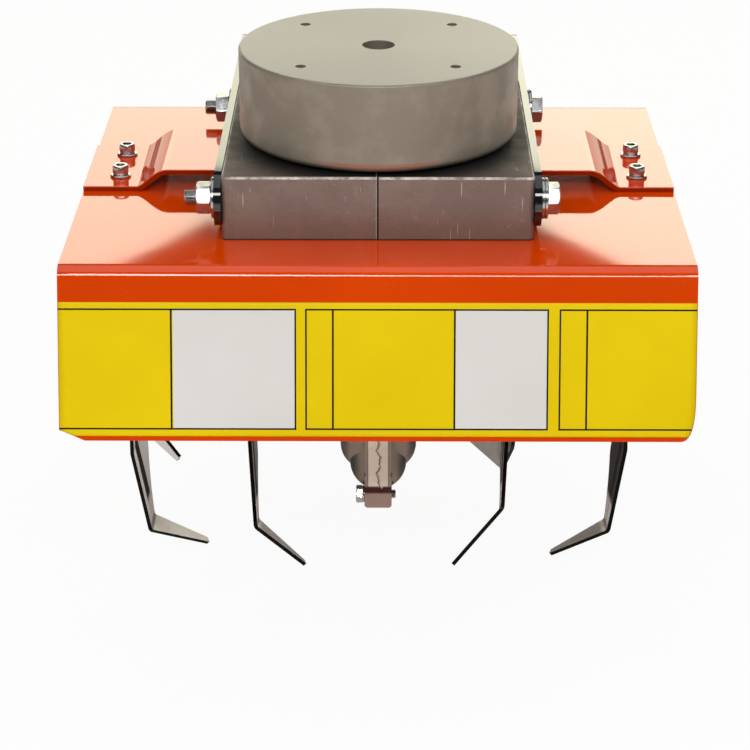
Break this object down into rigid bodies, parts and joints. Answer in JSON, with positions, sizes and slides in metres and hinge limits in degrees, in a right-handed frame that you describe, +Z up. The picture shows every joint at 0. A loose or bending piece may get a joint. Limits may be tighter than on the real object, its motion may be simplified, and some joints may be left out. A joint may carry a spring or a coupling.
{
  "type": "rotavator tilling head",
  "caption": "Tilling head of a petrol rotavator: folded sheet hood, split worm gearbox, round drive housing and a free-turning rotor with crossed, bent steel blades.",
  "frame": {"origin": "centre of the engine flange, on the top face of the drive housing", "axes": "+X to the machine's right, +Y to the rear, towards the handlebar, +Z up along the engine's drive axis"},
  "size_m": [0.37, 0.395, 0.36],
  "materials": {
    "hood_paint": "gloss",
    "bracket_paint": "gloss",
    "gearbox_casting": "rough cast",
    "housing_casting": "cast",
    "plate_paint": "gloss",
    "zinc_fastener": "zinc plated",
    "hub_paint": "satin",
    "axle_steel": "turned",
    "blade_steel": "polished"
  },
  "bodies": {
    "head": {"hood": "hood_paint", "gearbox_half_left": "gearbox_casting", "gearbox_half_right": "gearbox_casting", "seam_bolt": "zinc_fastener", "drive_housing": "housing_casting", "housing_cover": "housing_casting", "side_plate_left": "plate_paint", "side_plate_right": "plate_paint", "cross_bolt_front": "zinc_fastener", "cross_bolt_rear": "zinc_fastener", "cross_nut_front": "zinc_fastener", "cross_nut_rear": "zinc_fastener", "hood_bracket_left": "bracket_paint", "hood_bracket_right": "bracket_paint", "bracket_screw_1": "zinc_fastener", "bracket_screw_2": "zinc_fastener", "bracket_screw_3": "zinc_fastener", "bracket_screw_4": "zinc_fastener"},
    "rotor": {"rotor_axle": "axle_steel", "hub_left": "hub_paint", "hub_right": "hub_paint", "hub_pin_left": "zinc_fastener", "hub_pin_right": "zinc_fastener", "blade_left_inner_front": "blade_steel", "blade_left_inner_back": "blade_steel", "blade_left_outer_front": "blade_steel", "blade_left_outer_back": "blade_steel", "blade_right_inner_front": "blade_steel", "blade_right_inner_back": "blade_steel", "blade_right_outer_front": "blade_steel", "blade_right_outer_back": "blade_steel"}
  },
  "joints": [
    {"name": "rotor_spin", "type": "hinge", "parent": "head", "child": "rotor", "pos_m": [0, 0.033, -0.2443], "axis": [1, 0, 0], "continuous": true}
  ]
}
